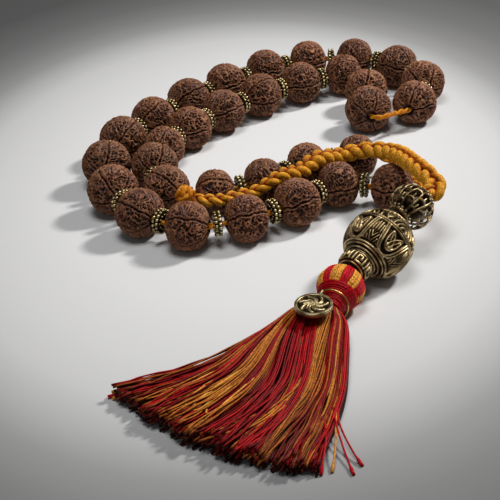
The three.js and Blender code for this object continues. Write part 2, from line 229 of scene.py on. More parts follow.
def smooth_line(stops, step):
    """A centripetal Catmull-Rom curve through the stops, with points about step apart."""
    stops = np.asarray(stops, float)
    stops = np.vstack([2 * stops[0] - stops[1], stops, 2 * stops[-1] - stops[-2]])
    line = []
    for p0, p1, p2, p3 in zip(stops, stops[1:], stops[2:], stops[3:]):
        t1 = np.linalg.norm(p1 - p0) ** 0.5
        t2 = t1 + np.linalg.norm(p2 - p1) ** 0.5
        t3 = t2 + np.linalg.norm(p3 - p2) ** 0.5
        t = np.linspace(t1, t2, 24, endpoint=False)[:, None]
        a1, a2 = lerp(t, 0, p0, t1, p1), lerp(t, t1, p1, t2, p2)
        a3 = lerp(t, t2, p2, t3, p3)
        line.append(lerp(t, t1, lerp(t, 0, a1, t2, a2), t2, lerp(t, t1, a2, t3, a3)))
    line = np.vstack([*line, stops[-2]])
    return resample(line, step)


def resample(line, step):
    run = run_along(line)
    places = np.linspace(0, run[-1], max(2, round(run[-1] / step) + 1))
    return np.stack([np.interp(places, run, line[:, k]) for k in range(3)], 1)


def frames(line, closed=False, towards=UP):
    """Side and top directions along a line, with top held near the given direction."""
    if closed:
        tangent = unit(np.roll(line, -1, 0) - np.roll(line, 1, 0))
    else:
        tangent = unit(np.gradient(line, axis=0))
    side = unit(np.cross(tangent, towards))
    return side, np.cross(side, tangent)


def tube(line, radius, sides, closed=False, twist=0.0, lobes=0, lobe_depth=0.0, towards=UP):
    """A tube along a line. twist is its turn in radians per millimetre, and carries its lobes."""
    line = np.asarray(line, float)
    side, top = frames(line, closed, towards)
    run = run_along(line)
    angle = angles(sides)
    radius = np.broadcast_to(np.asarray(radius, float).reshape(-1, 1), (len(line), 1))
    bulge = np.abs(np.cos((angle - twist * run[:, None]) * lobes / 2)) if lobes else 1.0
    radii = radius * (1 - lobe_depth + lobe_depth * bulge)
    circle = side[:, None] * np.cos(angle)[:, None] + top[:, None] * np.sin(angle)[:, None]
    points = line[:, None] + circle * radii[..., None]
    faces = grid_faces(len(line), sides, closed)[:, ::-1]
    # relief is 1 on the lobes and lower between them, where the thread materials paint shade.
    relief = np.broadcast_to(bulge, (len(line), sides)).ravel()
    points = points.reshape(-1, 3)
    if not closed:
        points = np.vstack([points, line[0], line[-1]])
        relief = np.append(relief, [0.6, 0.6])
        faces = np.vstack([faces, end_fans(len(line), sides)[:, [0, 2, 1]]])
    return points, faces, relief


def ply_line(line, phase, reach, closed=False):
    """A line that winds round another at a distance from it."""
    side, top = frames(line, closed)
    return line + reach * (side * np.cos(phase)[:, None] + top * np.sin(phase)[:, None])


def ring_line(centre, axis, radius, count):
    return place(polar(radius, angles(count), 0.0), centre, axis)


def small_ball(radius, rows=6, columns=8):
    """A ball's points and faces, closed at both poles."""
    lean = (np.arange(rows) + 0.5) * math.pi / rows
    points, faces = lathe(radius * np.sin(lean), -radius * np.cos(lean), columns, False)
    points[-2], points[-1] = (0, 0, -radius), (0, 0, radius)
    return points, faces


# ---------------- noise


def gradient_noise(points, seed):
    """Smooth noise, about -1 to 1, at each point."""
    cell = np.floor(points).astype(np.int64)
    part = points - cell
    fade = part * part * part * (part * (part * 6 - 15) + 10)
    total = np.zeros(len(points))
    for corner in np.ndindex(2, 2, 2):
        corner = np.array(corner)
        key = (cell + corner) @ np.array([73856093, 19349663, 83492791]) + seed * 97531
        key = (key ^ (key >> 13)) * 1274126177 & 0x7FFFFFFF
        key = (key ^ (key >> 15)) * 668265263 & 0x7FFFFFFF
        around = (key & 1023) * (TURN / 1024)
        level = ((key >> 10) & 1023) / 511.5 - 1
        flat = np.sqrt(np.maximum(0, 1 - level * level))
        gradient = np.stack([flat * np.cos(around), flat * np.sin(around), level], 1)
        weight = np.prod(np.where(corner, fade, 1 - fade), axis=1)
        total += weight * ((part - corner) * gradient).sum(1)
    return total * 1.6


def ridge(distance, half_width):
    """A rounded ridge, 1 on its line and 0 beyond its half width."""
    share = held(np.abs(distance) / half_width)
    return np.sqrt(1 - share * share)


def to_nearest(distance, pitch):
    """The distance to the nearest of a row of lines, pitch apart."""
    return np.abs((distance / pitch) % 1 - 0.5) * pitch


def panels(around, count, girth):
    """The distance round from the middle of the nearest of count panels."""
    phase = around * count / TURN
    return (phase - np.round(phase)) * TURN / count * girth


def stroke(x, y, path, half_width):
    """A rounded ridge along a path of points."""
    nearest = np.full(x.shape, 99.0)
    for (x0, y0), (x1, y1) in zip(path, path[1:]):
        dx, dy = x1 - x0, y1 - y0
        share = held(((x - x0) * dx + (y - y0) * dy) / (dx * dx + dy * dy))
        nearest = np.minimum(nearest, np.hypot(x - x0 - share * dx, y - y0 - share * dy))
    return ridge(nearest, half_width)


# ---------------- materials


def srgb(red, green, blue):
    return tuple(((c / 255 + 0.055) / 1.055) ** 2.4 if c > 10 else c / 3294.6
                 for c in (red, green, blue)) + (1.0,)


class Surface:
    """One node material round a Principled shader."""

    def __init__(self, name, **values):
        self.material = bpy.data.materials.new(name)
        self.material.use_nodes = True
        self.nodes, self.links = self.material.node_tree.nodes, self.material.node_tree.links
        self.shader = self.nodes["Principled BSDF"]
        for label, value in values.items():
            self.shader.inputs[label.replace("_", " ")].default_value = value

    def new(self, kind, **inputs):
        node = self.nodes.new(kind)
        for label, value in inputs.items():
            node.inputs[label].default_value = value
        return node

    def attribute(self, name):
        node = self.nodes.new("ShaderNodeAttribute")
        node.attribute_name = name
        return node.outputs["Fac"]

    def noise(self, scale, detail=3.0):
        where = self.nodes.new("ShaderNodeTexCoord")
        node = self.new("ShaderNodeTexNoise", Scale=scale, Detail=detail)
        self.links.new(where.outputs["Object"], node.inputs["Vector"])
        return node.outputs["Fac"]

    def ramp(self, value, *stops):
        node = self.nodes.new("ShaderNodeValToRGB")
        while len(node.color_ramp.elements) < len(stops):
            node.color_ramp.elements.new(0.5)
        for element, (position, colour) in zip(node.color_ramp.elements, stops):
            element.position, element.color = position, colour
        self.links.new(value, node.inputs["Fac"])
        return node.outputs["Color"]

    def times(self, first, second):
        node = self.nodes.new("ShaderNodeMix")
        node.data_type, node.blend_type = "RGBA", "MULTIPLY"
        node.inputs[0].default_value = 1.0
        self.links.new(first, node.inputs[6])
        self.links.new(second, node.inputs[7])
        return node.outputs[2]

    def range(self, value, low, high):
        node = self.new("ShaderNodeMapRange")
        node.inputs["To Min"].default_value = low
        node.inputs["To Max"].default_value = high
        self.links.new(value, node.inputs["Value"])
        return node.outputs["Result"]

    def set(self, label, value):
        self.links.new(value, self.shader.inputs[label])

    def bump(self, value, depth_mm, strength):
        node = self.new("ShaderNodeBump", Distance=depth_mm * MM, Strength=strength)
        self.links.new(value, node.inputs["Height"])
        self.set("Normal", node.outputs["Normal"])
        return self.material


def grey(level):
    return (level, level, level, 1.0)


def seed_material():
    """Dry shell: relief paints shade in the hollows and a highlight on the ridges, and tone sets
    one seed apart.
    """
    s = Surface("rudraksha_shell", Specular_IOR_Level=0.45)
    shade = s.ramp(s.attribute("relief"), (0.0, srgb(22, 7, 2)), (0.25, srgb(50, 23, 10)),
                   (0.6, srgb(108, 66, 42)), (1.0, srgb(174, 126, 93)))
    patches = s.ramp(s.noise(140, 4), (0.3, srgb(206, 172, 146)), (0.7, srgb(255, 240, 212)))
    shade = s.times(shade, patches)
    beads = s.ramp(s.attribute("tone"), (0.0, grey(0.72)), (1.0, grey(1.0)))
    s.set("Base Color", s.times(shade, beads))
    s.set("Roughness", s.range(s.noise(900, 2), 0.42, 0.68))
    return s.bump(s.noise(2600, 4), 0.12, 0.5)


def brass_material(name, dark, middle, bright, roughness):
    """Antique brass: relief runs from tarnish in the hollows to metal rubbed bright on top, and on
    the lantern a low relief paints the shade within the globe.
    """
    s = Surface(name, Metallic=0.92)
    shade = s.ramp(s.attribute("relief"), (0.0, srgb(*dark)), (0.42, srgb(*middle)),
                   (0.9, srgb(*bright)))
    tarnish = s.ramp(s.noise(330, 5), (0.36, srgb(150, 138, 118)), (0.62, srgb(255, 252, 244)))
    s.set("Base Color", s.times(shade, tarnish))
    s.set("Roughness", s.range(s.noise(700, 3), roughness - 0.1, roughness + 0.14))
    return s.bump(s.noise(1900, 3), 0.05, 0.6)


def thread_material(name, dark, bright, fibre_scale=1500, sheen=0.04):
    """Silky thread: tone picks between the two colours, and relief paints shade in the grooves."""
    s = Surface(name, Roughness=0.5, Specular_IOR_Level=0.14, Sheen_Weight=sheen,
                Sheen_Roughness=0.35)
    shade = s.ramp(s.attribute("tone"), (0.0, srgb(*dark)), (1.0, srgb(*bright)))
    # Painted shade in the grooves: a low relief darkens the colour.
    groove_shade = s.ramp(s.attribute("relief"), (0.0, srgb(62, 22, 10)),
                    (0.55, srgb(206, 160, 128)), (1.0, grey(1.0)))
    shade = s.times(shade, groove_shade)
    flecks = s.ramp(s.noise(fibre_scale, 2), (0.33, grey(0.5)), (0.6, grey(1.0)))
    s.set("Base Color", s.times(shade, flecks))
    return s.bump(s.noise(fibre_scale * 1.6, 3), 0.1, 0.7)


SEED = seed_material()
SPACER_BRASS = brass_material("spacer_brass", (40, 31, 18), (134, 116, 84), (228, 210, 162), 0.36)
CAST_BRASS = brass_material("cast_brass", (44, 35, 21), (116, 96, 66), (216, 193, 150), 0.38)
CHARM_BRASS = brass_material("charm_brass", (34, 25, 16), (98, 83, 57), (208, 192, 150), 0.4)
RING_BRASS = brass_material("ring_brass", (120, 92, 40), (190, 150, 80), (226, 190, 112), 0.28)
BRAID_THREAD = thread_material("braid_thread", (224, 90, 0), (255, 196, 52), 1100)
STRING_THREAD = thread_material("string_thread", (206, 92, 2), (255, 190, 44))
RED_THREAD = thread_material("red_thread", (92, 0, 2), (228, 6, 32), 1200, 0.02)
GOLD_THREAD = thread_material("gold_thread", (164, 78, 6), (255, 190, 74), 1200, 0.02)

# ---------------- the free cord

# The braid's centreline, from the knob on the string to the far pole of the lantern bead.
BRAID_ROUTE_M = [
    (-0.041, 0.005, 0.0125), (-0.0365, 0.002, 0.012), (-0.032, 0, 0.012),
    (-0.0275, -0.0005, 0.012), (-0.023, 0.0005, 0.012), (-0.018, 0.0025, 0.012),
    (-0.013, 0.004, 0.012), (-0.0085, 0.005, 0.0135), (-0.0045, 0.006, 0.0155),
    (0, 0.008, 0.017), (0.005, 0.011, 0.0165), (0.0095, 0.0145, 0.016), (0.014, 0.0185, 0.017),
    (0.0185, 0.021, 0.0175), (0.0235, 0.023, 0.0165), (0.028, 0.024, 0.0165),
    (0.0325, 0.024, 0.0175), (0.037, 0.022, 0.019), (0.041, 0.0185, 0.0205),
    (0.0445, 0.014, 0.022), (0.0475, 0.009, 0.0233), (0.0505, 0.0035, 0.024),
    (0.053, -0.0025, 0.024), (0.0555, -0.0085, 0.0238), (0.058, -0.0145, 0.0233),
    (0.0595, -0.0195, 0.0226), (0.0587, -0.0242, 0.022), (0.0546, -0.0278, 0.0213),
]
KNOB_RADIUS = 4.2
KNOB_GAP = 0.3
CORD_STEP = 0.3
BRAID_SWING = 2.6
BRAID_LIFT = 1.35
BRAID_STRAND = 1.72
BRAID_PITCH = 15.6
# Near the knob the braid is drawn tight: its girth there as a share, and where that share ends.
BRAID_SLIM = 0.7
BRAID_SLIM_END = 28.0
BRAID_FULL_START = 62.0


def add_braid():
    """Three plump strands that pass over and under each other, each twisted from many threads."""
    route = smooth_line(np.array(BRAID_ROUTE_M) / MM, CORD_STEP)
    route = route[round((KNOB_RADIUS + KNOB_GAP) / CORD_STEP):]
    side, top = frames(route)
    run = run_along(route)
    ends = held(np.minimum(run, run[-1] - run) / 4.0)[:, None]
    full = held((run - BRAID_SLIM_END) / (BRAID_FULL_START - BRAID_SLIM_END))
    girth = BRAID_SLIM + (1 - BRAID_SLIM) * full * full * (3 - 2 * full)
    beat = run / BRAID_PITCH + 0.25 * gradient_noise(route * 0.04, 44)
    builder = Builder()
    for strand in range(3):
        phase = TURN * (beat + strand / 3)[:, None]
        line = route + side * BRAID_SWING * np.sin(phase) * (0.35 + 0.65 * ends) * girth[:, None]
        line = line + top * BRAID_LIFT * np.sin(2 * phase) * girth[:, None]
        swollen = 0.84 + 0.3 * np.abs(np.sin(phase.ravel())) ** 1.5
        plump = BRAID_STRAND * (0.86 + 0.14 * ends.ravel()) * girth * swollen
        plump = plump * (1 + 0.16 * gradient_noise(line * 0.3, 40 + strand))
        points, faces, relief = tube(line, plump, 44, twist=0.75, lobes=11, lobe_depth=0.2)
        around = np.append(np.repeat(np.arange(len(line)), 44), [0, len(line) - 1])
        # Painted shade: depth is how far a point stands out from the braid's middle, and points
        # deep between the strands are painted dark through both relief and tone. grain is random
        # tone.
        depth = np.linalg.norm(points - route[around], axis=1) / girth[around]
        depth = held((depth - 1.5) / 1.9)
        grain = gradient_noise(points * 1.3, 50 + strand)
        tone = 0.36 + 0.66 * depth + 0.3 * grain + 0.4 * (relief - 0.6)
        relief = (0.3 + 0.7 * relief) * (0.15 + 0.85 * depth)
        builder.add(points, faces, relief, held(tone))
    braid = builder.piece("braid", BRAID_THREAD, "strand", "braid", ["braided_cord"])


add_braid()

# ---------------- the string

# Where the string is bare it bends at these points, in metres.
TURN_BACK_M = [(0.059, 0.005, 0.005), (0.06, 0.02, 0.0017), (0.052, 0.033, 0.005)]
CORNER_M = [(0.0525, 0.13, 0.01), (0.0535, 0.1245, 0.01)]
CLOSING_TURN_M = [(0.0495, 0.0715, 0.011), (0.0545, 0.0725, 0.0115), (0.0595, 0.076, 0.011)]
SEEDS_BEFORE_CORNER = 12
SEEDS_BEFORE_KNOT = 4
SEED_MOUTH = 0.8
STRING_STEP = 0.6
STRING_PITCH = 9

OUTER = [f"seed_outer_{index:02d}" for index in range(1, 19)]
INNER = [f"seed_inner_{index:02d}" for index in range(1, 15)]


def seed_place(body):
    """A seed's centre, its bore's direction and its radius. It lies on the ground."""
    centre, axis = joint_place(body)
    return centre, axis, centre[2]


def string_line():
    """The closed line of the string: straight through each seed, and round the bare bends."""
    def through(bodies):
        found = []
        for body in bodies:
            centre, axis, radius = seed_place(body)
            mouth = axis * radius * SEED_MOUTH
            found += [centre - mouth, centre, centre + mouth]
        return found

    def bare(points):
        return [np.array(point) / MM for point in points]

    stops = [*through(OUTER), *bare(TURN_BACK_M), *through(INNER[:SEEDS_BEFORE_CORNER])]
    stops += [*bare(CORNER_M), *through(INNER[SEEDS_BEFORE_CORNER:]), *bare(CLOSING_TURN_M)]
    line = smooth_line([stops[-1], *stops, stops[0], stops[1]], STRING_STEP)
    first = np.argmin(np.linalg.norm(line - stops[0], axis=1)[:60])
    last = len(line) - 60 + np.argmin(np.linalg.norm(line - stops[0], axis=1)[-60:])
    return line[first:last]


def add_string():
    """A cord of two plies, twisted together."""
    line = string_line()
    turns = round((len(line) - 1) * STRING_STEP / STRING_PITCH)
    phase = turns * angles(len(line))
    builder = Builder()
    for ply in range(2):
        centre = ply_line(line, phase + math.pi * ply, 0.62, closed=True)
        points, faces, relief = tube(centre, 0.74, 12, closed=True, lobes=5, lobe_depth=0.18)
        tone = 0.6 + 0.4 * gradient_noise(points * 0.9, 60 + ply)
        builder.add(points, faces, 0.4 + 0.6 * relief, held(tone))
    builder.piece("twisted_string", STRING_THREAD, "strand", "string", ["bead_string"])


add_string()

# ---------------- seeds

SEED_COLUMNS = 208
SEED_ROWS = 114
BORE_ROWS = 10
SEED_BORE = 1.6
POLE_ANGLE = 0.25
SEAMS = 5
# The shell's wrinkles are ridges along the zero lines of three noises: scale, half width, height.
WRINKLES = [(0.46, 0.15, 1.0), (0.55, 0.145, 0.92), (0.85, 0.15, 0.7)]


def seed_profile(radius):
    """The smooth outline of a seed, closed through its bore, and how far each point may wrinkle."""
    lean = np.linspace(POLE_ANGLE, math.pi - POLE_ANGLE, SEED_ROWS)
    outer_radius = radius * np.sin(lean) ** 0.94
    outer_height = -0.955 * radius * np.cos(lean)
    inner_share = (np.arange(BORE_ROWS) + 1) / (BORE_ROWS + 1)
    inner_height = outer_height[-1] * (1 - 2 * inner_share)
    depth = held((1 - np.abs(1 - 2 * inner_share)) * 5)
    inner_radius = outer_radius[0] + (SEED_BORE - outer_radius[0]) * depth
    fade = held(np.minimum(lean, math.pi - lean) / 0.12 - POLE_ANGLE / 0.12)
    wrinkle = np.concatenate([0.25 + 0.75 * fade, 0.2 * (1 - depth)])
    return (np.concatenate([outer_radius, inner_radius]),
            np.concatenate([outer_height, inner_height]), wrinkle)


def add_seed(body, node, index):
    """A dry seed: seams from mouth to mouth, and a close network of wrinkles between them."""
    rng = np.random.default_rng(500 + index)
    centre, axis, radius = seed_place(body)
    profile_radius, profile_height, wrinkle = seed_profile(radius)
    points, faces = lathe(profile_radius, profile_height, SEED_COLUMNS, True)
    rows = len(profile_radius)
    around = np.tile(angles(SEED_COLUMNS), rows)
    level = np.repeat(profile_height / radius, SEED_COLUMNS)
    girth = np.repeat(profile_radius, SEED_COLUMNS)
    amount = np.repeat(wrinkle, SEED_COLUMNS)
    away = unit(points + 1e-9)

    shift = rng.uniform(-50, 50, 3)
    here = points + shift
    warp = np.stack([gradient_noise(here * 0.2 + 7 * k, index) for k in range(3)], 1)
    bent = here + 1.5 * warp
    folds = np.zeros(len(points))
    for octave, (scale, width, tall) in enumerate(WRINKLES):
        level_set = gradient_noise(bent * scale + 31 * octave, index + 100 * octave)
        folds = np.maximum(folds, tall * ridge(level_set, width))
    grain = gradient_noise(here * 2.2, index + 300)

    sway = 0.12 * gradient_noise(np.stack([level * 2.2 + shift[0], 0 * level, 0 * level], 1), index)
    seam_phase = (around + sway + rng.uniform(0, 6)) * SEAMS / TURN
    off_seam = np.abs(seam_phase - np.round(seam_phase)) * TURN / SEAMS * girth
    seam = np.exp(-(off_seam / 0.3) ** 2)
    lips = np.exp(-((off_seam - 0.85) / 0.42) ** 2)
    raised = np.maximum(folds, 0.8 * lips)
    height = raised - 0.7 * seam + 0.12 * grain
    lobed = 0.12 * np.cos(TURN * (seam_phase - 0.5))
    push = (height - 0.6) * 1.75 * (radius / 10) * amount + lobed * amount
    # Round the mouths the shell is rubbed smooth, so that it clears the rings as it turns.
    rubbed = 0.05 + 0.7 * held(girth / 3 - 1.75)
    points = points + away * np.minimum(push, rubbed)[:, None]
    # Painted shade and highlight: the ridges of the wrinkles are painted light and the seams dark,
    # with some random grain. The relief is also lowered near the mouths, and inside the bore, where
    # it is painted shade.
    relief = held(0.06 + 0.9 * raised - 0.6 * seam + 0.12 * grain)
    relief = relief * held(0.25 + amount)
    points[:, 2] = np.clip(points[:, 2], -0.95 * radius, 0.95 * radius)
    points = place(points, centre, axis, rng.uniform(0, TURN))
    points[:, 2] = np.maximum(points[:, 2], 0.02)
    builder = Builder()
    builder.add(points, faces, relief, rng.uniform(0.1, 1.0))
    builder.piece(node + "_shell", SEED, body, "seed", [node])


def add_seeds():
    for index, body in enumerate([*OUTER, *INNER]):
        add_seed(body, "rudraksha_" + body[len("seed_"):], index)


add_seeds()

# ---------------- spacers

GRANULES = 17
GRANULE_RADIUS = 0.68
GRANULE_RING = 4.75
GRANULE_SPREAD = 0.86
HUB = [(1.75, -1.0), (2.6, -1.5), (3.6, -1.35), (4.3, -1.15), (4.5, -0.6), (4.15, 0), (4.5, 0.6),
       (4.3, 1.15), (3.6, 1.35), (2.6, 1.5), (1.75, 1.0), (1.7, 0)]
# How far past a seed's centre the string is still straight, as a share of the seed's radius.
STRAIGHT = 0.62
# This fixed ring is moved back along the string, clear of the seed after it.
MOVED_RING = 6
MOVED_BY = 0.25


def gap_middle(first, second):
    """The middle of the gap between two seeds, and the direction from one seed to the other."""
    start, start_axis, start_radius = seed_place(first)
    end, end_axis, end_radius = seed_place(second)
    leaving = start + start_axis * start_radius * STRAIGHT
    return (leaving + end - end_axis * end_radius * STRAIGHT) / 2, unit(end - start)


def spacer_template():
    """A granulated ring: a grooved hub, a row of balls round each edge and small ones within."""
    builder = Builder()
    points, faces = lathe(*np.array(HUB).T, 48, True)
    shade = np.clip((np.hypot(points[:, 0], points[:, 1]) - 3.9) / 3, 0, 0.25)
    builder.add(points, faces, shade, 0.5)
    ball, ball_faces = small_ball(GRANULE_RADIUS)
    for row in (-1, 1):
        for index in range(GRANULES):
            angle = TURN * (index + 0.25 * row) / GRANULES
            moved = ball + polar(GRANULE_RING, angle, row * GRANULE_SPREAD)
            outward = np.hypot(moved[:, 0], moved[:, 1]) - GRANULE_RING
            relief = held(0.45 + outward / GRANULE_RADIUS * 0.6)
            builder.add(moved, ball_faces, relief, 0.5)
    ball, ball_faces = small_ball(0.42, 5, 6)
    for side in (-1, 1):
        for angle in angles(12):
            builder.add(ball + polar(3.1, angle, side * 1.45), ball_faces, 0.7, 0.5)
    return builder.merged()


SPACER = spacer_template()


def add_spacer(name, body, centre, axis, replaces=()):
    points, faces, relief, tone = SPACER
    builder = Builder()
    builder.add(place(points, centre, axis, random.uniform(0, 6)), faces, relief, tone)
    builder.piece(name, SPACER_BRASS, body, "spacer_brass", replaces)


def add_spacers():
    """The outer row's first 16 rings turn. Its last one and the inner row's stay on the string."""
    for index in range(1, 17):
        body = f"spacer_{index:02d}"
        add_spacer(f"granulated_ring_{index:02d}", body, *joint_place(body),
                   [f"spacer_ring_{index:02d}"])
    pairs = [(OUTER[16], OUTER[17])]
    pairs += [pair for k, pair in enumerate(zip(INNER, INNER[1:]))
              if k not in (SEEDS_BEFORE_KNOT - 1, SEEDS_BEFORE_CORNER - 1)]
    for index, pair in enumerate(pairs, start=1):
        centre, axis = gap_middle(*pair)
        if index == MOVED_RING:
            centre = centre - axis * MOVED_BY
        add_spacer(f"fixed_ring_{index:02d}", "strand", centre, axis)


add_spacers()

# ---------------- knot

KNOT_LEADS, KNOT_BIGHTS = 4, 5


def add_knot():
    """A round button knot: one cord that passes over and under itself round a ball, and two
    turns of the same cord round the string, each with its own stem to the ball."""
    knob = np.array(BRAID_ROUTE_M[0]) / MM
    hold, along = gap_middle(INNER[SEEDS_BEFORE_KNOT - 1], INNER[SEEDS_BEFORE_KNOT])
    builder = Builder()

    t = angles(360)
    swell = 2.95 + 0.42 * np.sin(KNOT_BIGHTS * 2 * t)
    latitude = 1.15 * np.cos(KNOT_BIGHTS * t)
    line = polar(swell * np.cos(latitude), (KNOT_LEADS - 1) * t, swell * np.sin(latitude))
    line = place(line, knob, np.array([0.6, 0.3, 0.74]))
    points, faces, relief = tube(line, 1.12, 14, closed=True, lobes=7, lobe_depth=0.12, twist=0.9)
    builder.add(points, faces, 0.35 + 0.65 * relief, 0.6 + 0.3 * gradient_noise(points, 77))
    # The ball is painted darker than the cord, as shade in the gaps between its passes.
    core, core_faces = small_ball(2.9, 14, 20)
    builder.add(core + knob, core_faces, 0.3, 0.3)

    reach = knob - hold
    upward = unit(reach - along * (reach @ along))
    across = np.cross(along, upward)
    twine = {"lobes": 5, "lobe_depth": 0.12, "twist": 0.9, "towards": along}
    for side in (-1, 1):
        middle = hold + along * side * 0.75
        wrap = [middle + 1.95 * (upward * math.cos(angle) + across * math.sin(angle))
                for angle in np.linspace(-0.15, TURN + 0.15, 26)]
        builder.add_cord(wrap, 0.78, 12, 0.35, 0.5, **twine)
        stem = [hold + upward * 1.6 + across * side * 0.7 + along * side * 0.75,
                hold + upward * 4.5 + across * side * 0.9 + along * side * 0.5,
                knob - upward * 1.8 + across * side * 0.6]
        builder.add_cord(smooth_line(stem, 0.4), 0.75, 12, 0.35, 0.55, **twine)
    builder.piece("button_knot", BRAID_THREAD, "strand", "braid", ["cord_knot"])


add_knot()

# ---------------- cast beads

CAST_BORE = 2.2
GURU_PANELS = 5


def add_relief_bead(name, body, half, radius, square, depth, pattern, rows, columns):
    """A cast bead: an outline of revolution with raised ornament. half is half its length, and
    square flattens its sides. pattern gives the ornament's height, 0 to 1, from the angle round,
    the distance along the outline and the outline's radius there."""
    centre, axis = joint_place(body)
    lean = np.linspace(0, math.pi, rows)
    tip = CAST_BORE / radius
    sweep = np.sin(lean) ** square
    base_radius = radius * (tip + (1 - tip) * sweep)
    base_height = -half * np.sign(np.cos(lean)) * np.abs(np.cos(lean)) ** 0.96
    bore_rows = 8
    bore = np.linspace(1, -1, bore_rows + 2)[1:-1]
    profile_radius = np.concatenate([base_radius, np.full(bore_rows, CAST_BORE)])
    profile_height = np.concatenate([base_height, half * bore])
    steps = np.hypot(np.diff(base_radius), np.diff(base_height))
    along = np.concatenate([[0], np.cumsum(steps)])
    along = along - along[-1] / 2
    raised = np.zeros((len(profile_radius), columns))
    for row in range(rows):
        raised[row] = pattern(angles(columns), along[row], base_radius[row])
    edge = held(np.minimum(np.arange(rows), rows - 1 - np.arange(rows)) / 3)
    raised[:rows] *= edge[:, None]
    normal_radius = np.gradient(base_height, along)
    normal_height = -np.gradient(base_radius, along)
    lift_radius = np.concatenate([normal_radius, np.zeros(bore_rows)])[:, None]
    lift_height = np.concatenate([normal_height, np.zeros(bore_rows)])[:, None]
    lift = depth * (raised - 0.8)
    lift[rows:] = 0
    points, faces = lathe(profile_radius[:, None] + lift * lift_radius,
                          profile_height[:, None] + lift * lift_height, columns, True)
    builder = Builder()
    builder.add(place(points, centre, axis), faces, held(raised), 0.5)
    builder.piece(name, CAST_BRASS, body, "cast_brass", [f"{body}_bead"])


def guru_pattern(around, along, girth):
    """Twin ribs above the middle and twin rings at the foot. Between them, a looped double strap
    holds a pair of veined leaves, with bars outside it. Above the ribs, nested arches."""
    marks = [np.zeros_like(around)]
    rope = 0.8 + 0.2 * np.abs(np.sin(around * 46))
    for rib, width, worn in ((1.6, 0.42, rope), (2.7, 0.42, rope), (-10.3, 0.5, 1),
                             (-11.5, 0.5, 1), (-13.2, 0.55, rope), (-14.6, 0.6, 1),
                             (11.4, 0.45, 1), (12.6, 0.55, rope), (14.6, 0.6, 1)):
        marks.append(ridge(along - rib, width) * worn)
    width = TURN / GURU_PANELS * girth
    across = panels(around, GURU_PANELS, girth)
    edge = width / 2 - np.abs(across)
    if -9.8 < along < 1.4:
        y = along + 9.2
        strap = np.abs(across) - 4.6 * max(y, 0) ** 0.42 / 10.4 ** 0.42 - 1.2
        slope = 1 / math.hypot(1, 0.9 / max(y, 0.4) ** 0.58)
        for offset in (-0.55, 0.55):
            marks.append(ridge((strap - offset) * slope, 0.42))
        marks.append(0.4 * ridge(strap * slope, 0.6))
        for tilt in (-0.36, 0.36):
            c, s = math.cos(tilt), math.sin(tilt)
            px, py = across * c - (y - 2.6) * s, across * s + (y - 2.6) * c
            inside = np.hypot(px / (1.5 - 0.14 * (py - 3.4)), (py - 3.4) / 3.5)
            marks.append(ridge((inside - 1) * 1.35, 0.36))
            marks.append(0.9 * ridge(px, 0.25) * (inside < 0.9))
            vein = to_nearest(py + np.abs(px) * 0.9, 1.1)
            marks.append(0.55 * ridge(vein, 0.22) * (inside < 0.85))
        outside = strap > 1.3
        for bar in (0.55, 1.65, 2.75):
            reach = ridge(y - 7.6 + 0.35 * bar, 2.6) ** 0.4
            marks.append(ridge(edge - bar, 0.4) * reach * outside)
        if y < 5.2:
            fan = to_nearest(edge - 0.5 * (y - 1), 1.25)
            marks.append(0.85 * ridge(fan, 0.4) * ridge(y - 2.4, 2.3) ** 0.5 * outside)
    if 3.2 < along < 11.2:
        y = along - 3.0
        for arch in (1.3, 2.6, 4.0):
            distance = np.hypot(across, y * 0.78) - arch * width / 13
            marks.append(ridge(distance, 0.42))
        inside = np.hypot(edge / 1.25, (y - 4.3) / 3.0)
        marks.append(ridge((inside - 1) * 1.25, 0.36))
        marks.append(0.9 * ridge(edge, 0.25) * (inside < 0.9))
        marks.append(0.8 * ridge(np.hypot(edge, y - 0.9), 0.75))
        if y > 5.6:
            bars = to_nearest(across, 1.3)
            marks.append(0.8 * ridge(bars, 0.38) * ridge(y - 6.8, 1.3) ** 0.5)
    if 12.8 < abs(along) < 18:
        bars = to_nearest(around * girth, width / 4)
        marks.append(0.6 * ridge(bars, 0.5) * ridge(abs(along) - 16.2, 1.2) ** 0.5)
    return np.maximum.reduce(np.broadcast_arrays(*marks))


FRET_SPIRALS = 6
FRET = [(-2.4, -2.3), (-2.4, 2.3), (2.4, 2.3), (2.4, -2.3), (-0.9, -2.3), (-0.9, 0.9), (0.9, 0.9),
        (0.9, -0.7)]


def barrel_pattern(around, along, girth):
    """Square spirals side by side between two plain edges."""
    across = panels(around, FRET_SPIRALS, girth)
    return np.maximum(ridge(np.abs(along) - 3.75, 0.45), stroke(across, along, FRET, 0.55))


LANTERN_RADIUS = 8.8
LANTERN_HALF = 7.7
LANTERN_RIBS = 14
LANTERN_COLLAR = np.array([(CAST_BORE, 6.2), (4.3, 6.3), (4.7, 6.9), (4.4, 7.6), (3.4, 8.0),
                           (CAST_BORE, 8.0)])


